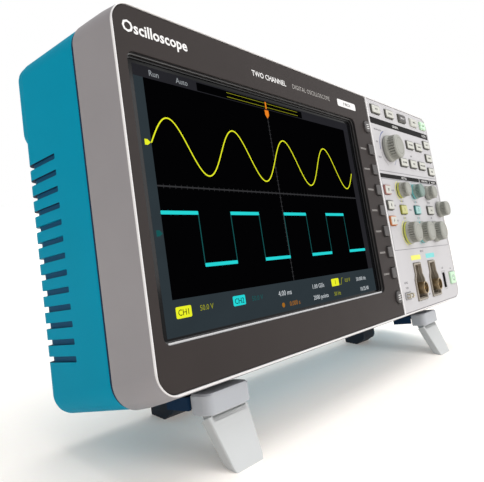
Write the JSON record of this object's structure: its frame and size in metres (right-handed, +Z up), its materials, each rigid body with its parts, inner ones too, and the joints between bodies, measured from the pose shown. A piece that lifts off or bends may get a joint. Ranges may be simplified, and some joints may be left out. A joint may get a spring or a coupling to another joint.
{
  "type": "oscilloscope",
  "caption": "Benchtop digital oscilloscope with a wide colour display, rotary and push controls, probe inputs and fold-out front feet that lean it back.",
  "frame": {"origin": "on the table, under the middle of the whole object", "axes": "+Z up, -Y the way the screen faces, +X to the right as seen from the front"},
  "size_m": [0.3724, 0.1238, 0.207],
  "materials": {
    "shell_teal": "moulded, fine matt texture",
    "frame_grey": "moulded, satin with a lighter rim",
    "panel_grey": "moulded, satin",
    "bezel_dark": "moulded, satin",
    "screen_glass": "glossy display cover with the lit picture behind it",
    "lcd_case": "matt",
    "circuit_board": "solder mask",
    "power_board": "bare laminate",
    "zinc_sheet": "plated sheet",
    "inlet_black": "moulded",
    "plated_metal": "nickel plate, slightly dulled",
    "socket_metal": "die-cast, dulled",
    "knob_grey": "moulded with a ribbed grip",
    "key_dark": "satin key cap",
    "key_light": "satin key cap",
    "key_red": "satin key cap",
    "key_orange": "satin key cap",
    "key_yellow": "satin key cap",
    "key_cyan": "satin key cap",
    "key_green": "translucent key cap",
    "foot_grey": "moulded, satin",
    "foot_rubber": "matt"
  },
  "bodies": {
    "case": {"front_frame": "frame_grey", "display_bezel": "bezel_dark", "control_panel": "panel_grey", "screen_glass": "screen_glass", "lcd_module": "lcd_case", "front_panel_board": "circuit_board", "chassis": "zinc_sheet", "main_board": "circuit_board", "power_supply": "power_board", "mains_inlet": "inlet_black", "rear_cover": "shell_teal", "usb_host_port": "plated_metal", "probe_comp_terminal": "plated_metal", "probe_socket_1": "socket_metal", "bnc_jack_1": "plated_metal", "probe_socket_2": "socket_metal", "bnc_jack_2": "plated_metal", "front_foot_mount_left": "foot_grey", "rear_foot_left": "foot_rubber", "front_foot_mount_right": "foot_grey", "rear_foot_right": "foot_rubber"},
    "multipurpose_knob": {"multipurpose_knob": "knob_grey"},
    "channel_1_position_knob": {"channel_1_position_knob": "knob_grey"},
    "channel_2_position_knob": {"channel_2_position_knob": "knob_grey"},
    "horizontal_position_knob": {"horizontal_position_knob": "knob_grey"},
    "trigger_level_knob": {"trigger_level_knob": "knob_grey"},
    "channel_1_scale_knob": {"channel_1_scale_knob": "knob_grey"},
    "channel_2_scale_knob": {"channel_2_scale_knob": "knob_grey"},
    "horizontal_scale_knob": {"horizontal_scale_knob": "knob_grey"},
    "menu_button": {"menu_button": "key_dark"},
    "menu_off_button": {"menu_off_button": "key_dark"},
    "soft_key_1": {"soft_key_1": "key_dark"},
    "soft_key_2": {"soft_key_2": "key_dark"},
    "soft_key_3": {"soft_key_3": "key_dark"},
    "soft_key_4": {"soft_key_4": "key_dark"},
    "soft_key_5": {"soft_key_5": "key_dark"},
    "soft_key_6": {"soft_key_6": "key_dark"},
    "soft_key_7": {"soft_key_7": "key_dark"},
    "save_button": {"save_button": "key_light"},
    "cursor_button": {"cursor_button": "key_light"},
    "default_button": {"default_button": "key_dark"},
    "single_button": {"single_button": "key_light"},
    "run_stop_button": {"run_stop_button": "key_green"},
    "autoset_button": {"autoset_button": "key_light"},
    "utility_button": {"utility_button": "key_light"},
    "help_button": {"help_button": "key_light"},
    "measure_button": {"measure_button": "key_light"},
    "search_button": {"search_button": "key_light"},
    "acquire_button": {"acquire_button": "key_light"},
    "test_button": {"test_button": "key_light"},
    "function_button": {"function_button": "key_light"},
    "math_button": {"math_button": "key_red"},
    "reference_button": {"reference_button": "key_light"},
    "fft_button": {"fft_button": "key_orange"},
    "channel_1_button": {"channel_1_button": "key_yellow"},
    "channel_2_button": {"channel_2_button": "key_cyan"},
    "horizontal_button": {"horizontal_button": "key_light"},
    "power_button": {"power_button": "key_green"},
    "front_foot_left": {"front_foot_left": "foot_grey"},
    "front_foot_right": {"front_foot_right": "foot_grey"}
  },
  "joints": [
    {"name": "multipurpose_knob_turn", "type": "hinge", "parent": "case", "child": "multipurpose_knob", "pos_m": [0.0848, -0.03824, 0.16995], "axis": [0, 0.9767, -0.2147], "continuous": true},
    {"name": "channel_1_position_knob_turn", "type": "hinge", "parent": "case", "child": "channel_1_position_knob", "pos_m": [0.0918, -0.04358, 0.13631], "axis": [0, 0.9767, -0.2147], "continuous": true},
    {"name": "channel_2_position_knob_turn", "type": "hinge", "parent": "case", "child": "channel_2_position_knob", "pos_m": [0.1213, -0.04358, 0.13631], "axis": [0, 0.9767, -0.2147], "continuous": true},
    {"name": "horizontal_position_knob_turn", "type": "hinge", "parent": "case", "child": "horizontal_position_knob", "pos_m": [0.1518, -0.04358, 0.13631], "axis": [0, 0.9767, -0.2147], "continuous": true},
    {"name": "trigger_level_knob_turn", "type": "hinge", "parent": "case", "child": "trigger_level_knob", "pos_m": [0.1746, -0.0477, 0.12227], "axis": [0, 0.9767, -0.2147], "continuous": true},
    {"name": "channel_1_scale_knob_turn", "type": "hinge", "parent": "case", "child": "channel_1_scale_knob", "pos_m": [0.0918, -0.05242, 0.10263], "axis": [0, 0.9767, -0.2147], "continuous": true},
    {"name": "channel_2_scale_knob_turn", "type": "hinge", "parent": "case", "child": "channel_2_scale_knob", "pos_m": [0.1213, -0.05242, 0.10263], "axis": [0, 0.9767, -0.2147], "continuous": true},
    {"name": "horizontal_scale_knob_turn", "type": "hinge", "parent": "case", "child": "horizontal_scale_knob", "pos_m": [0.1518, -0.05242, 0.10263], "axis": [0, 0.9767, -0.2147], "continuous": true},
    {"name": "menu_button_press", "type": "slide", "parent": "case", "child": "menu_button", "axis": [0, 0.9767, -0.2147], "range_m": [0, 0.0012], "stiffness_N_per_m": 900, "springref_m": -0.0004},
    {"name": "menu_off_button_press", "type": "slide", "parent": "case", "child": "menu_off_button", "axis": [0, 0.9767, -0.2147], "range_m": [0, 0.0012], "stiffness_N_per_m": 900, "springref_m": -0.0004},
    {"name": "soft_key_1_press", "type": "slide", "parent": "case", "child": "soft_key_1", "axis": [0, 0.9767, -0.2147], "range_m": [0, 0.0012], "stiffness_N_per_m": 900, "springref_m": -0.0004},
    {"name": "soft_key_2_press", "type": "slide", "parent": "case", "child": "soft_key_2", "axis": [0, 0.9767, -0.2147], "range_m": [0, 0.0012], "stiffness_N_per_m": 900, "springref_m": -0.0004},
    {"name": "soft_key_3_press", "type": "slide", "parent": "case", "child": "soft_key_3", "axis": [0, 0.9767, -0.2147], "range_m": [0, 0.0012], "stiffness_N_per_m": 900, "springref_m": -0.0004},
    {"name": "soft_key_4_press", "type": "slide", "parent": "case", "child": "soft_key_4", "axis": [0, 0.9767, -0.2147], "range_m": [0, 0.0012], "stiffness_N_per_m": 900, "springref_m": -0.0004},
    {"name": "soft_key_5_press", "type": "slide", "parent": "case", "child": "soft_key_5", "axis": [0, 0.9767, -0.2147], "range_m": [0, 0.0012], "stiffness_N_per_m": 900, "springref_m": -0.0004},
    {"name": "soft_key_6_press", "type": "slide", "parent": "case", "child": "soft_key_6", "axis": [0, 0.9767, -0.2147], "range_m": [0, 0.0012], "stiffness_N_per_m": 900, "springref_m": -0.0004},
    {"name": "soft_key_7_press", "type": "slide", "parent": "case", "child": "soft_key_7", "axis": [0, 0.9767, -0.2147], "range_m": [0, 0.0012], "stiffness_N_per_m": 900, "springref_m": -0.0004},
    {"name": "save_button_press", "type": "slide", "parent": "case", "child": "save_button", "axis": [0, 0.9767, -0.2147], "range_m": [0, 0.0012], "stiffness_N_per_m": 900, "springref_m": -0.0004},
    {"name": "cursor_button_press", "type": "slide", "parent": "case", "child": "cursor_button", "axis": [0, 0.9767, -0.2147], "range_m": [0, 0.0012], "stiffness_N_per_m": 900, "springref_m": -0.0004},
    {"name": "default_button_press", "type": "slide", "parent": "case", "child": "default_button", "axis": [0, 0.9767, -0.2147], "range_m": [0, 0.0012], "stiffness_N_per_m": 900, "springref_m": -0.0004},
    {"name": "single_button_press", "type": "slide", "parent": "case", "child": "single_button", "axis": [0, 0.9767, -0.2147], "range_m": [0, 0.0012], "stiffness_N_per_m": 900, "springref_m": -0.0004},
    {"name": "run_stop_button_press", "type": "slide", "parent": "case", "child": "run_stop_button", "axis": [0, 0.9767, -0.2147], "range_m": [0, 0.0012], "stiffness_N_per_m": 900, "springref_m": -0.0004},
    {"name": "autoset_button_press", "type": "slide", "parent": "case", "child": "autoset_button", "axis": [0, 0.9767, -0.2147], "range_m": [0, 0.0012], "stiffness_N_per_m": 900, "springref_m": -0.0004},
    {"name": "utility_button_press", "type": "slide", "parent": "case", "child": "utility_button", "axis": [0, 0.9767, -0.2147], "range_m": [0, 0.0012], "stiffness_N_per_m": 900, "springref_m": -0.0004},
    {"name": "help_button_press", "type": "slide", "parent": "case", "child": "help_button", "axis": [0, 0.9767, -0.2147], "range_m": [0, 0.0012], "stiffness_N_per_m": 900, "springref_m": -0.0004},
    {"name": "measure_button_press", "type": "slide", "parent": "case", "child": "measure_button", "axis": [0, 0.9767, -0.2147], "range_m": [0, 0.0012], "stiffness_N_per_m": 900, "springref_m": -0.0004},
    {"name": "search_button_press", "type": "slide", "parent": "case", "child": "search_button", "axis": [0, 0.9767, -0.2147], "range_m": [0, 0.0012], "stiffness_N_per_m": 900, "springref_m": -0.0004},
    {"name": "acquire_button_press", "type": "slide", "parent": "case", "child": "acquire_button", "axis": [0, 0.9767, -0.2147], "range_m": [0, 0.0012], "stiffness_N_per_m": 900, "springref_m": -0.0004},
    {"name": "test_button_press", "type": "slide", "parent": "case", "child": "test_button", "axis": [0, 0.9767, -0.2147], "range_m": [0, 0.0012], "stiffness_N_per_m": 900, "springref_m": -0.0004},
    {"name": "function_button_press", "type": "slide", "parent": "case", "child": "function_button", "axis": [0, 0.9767, -0.2147], "range_m": [0, 0.0012], "stiffness_N_per_m": 900, "springref_m": -0.0004},
    {"name": "math_button_press", "type": "slide", "parent": "case", "child": "math_button", "axis": [0, 0.9767, -0.2147], "range_m": [0, 0.0012], "stiffness_N_per_m": 900, "springref_m": -0.0004},
    {"name": "reference_button_press", "type": "slide", "parent": "case", "child": "reference_button", "axis": [0, 0.9767, -0.2147], "range_m": [0, 0.0012], "stiffness_N_per_m": 900, "springref_m": -0.0004},
    {"name": "fft_button_press", "type": "slide", "parent": "case", "child": "fft_button", "axis": [0, 0.9767, -0.2147], "range_m": [0, 0.0012], "stiffness_N_per_m": 900, "springref_m": -0.0004},
    {"name": "channel_1_button_press", "type": "slide", "parent": "case", "child": "channel_1_button", "axis": [0, 0.9767, -0.2147], "range_m": [0, 0.0012], "stiffness_N_per_m": 900, "springref_m": -0.0004},
    {"name": "channel_2_button_press", "type": "slide", "parent": "case", "child": "channel_2_button", "axis": [0, 0.9767, -0.2147], "range_m": [0, 0.0012], "stiffness_N_per_m": 900, "springref_m": -0.0004},
    {"name": "horizontal_button_press", "type": "slide", "parent": "case", "child": "horizontal_button", "axis": [0, 0.9767, -0.2147], "range_m": [0, 0.0012], "stiffness_N_per_m": 900, "springref_m": -0.0004},
    {"name": "power_button_press", "type": "slide", "parent": "case", "child": "power_button", "axis": [0, 0.9767, -0.2147], "range_m": [0, 0.0015], "stiffness_N_per_m": 900, "springref_m": -0.0004},
    {"name": "front_foot_left_fold", "type": "hinge", "parent": "case", "child": "front_foot_left", "pos_m": [-0.133, -0.04275, 0.02555], "axis": [1, 0, 0], "range_deg": [0, 108]},
    {"name": "front_foot_right_fold", "type": "hinge", "parent": "case", "child": "front_foot_right", "pos_m": [0.133, -0.04275, 0.02555], "axis": [1, 0, 0], "range_deg": [0, 108]}
  ]
}
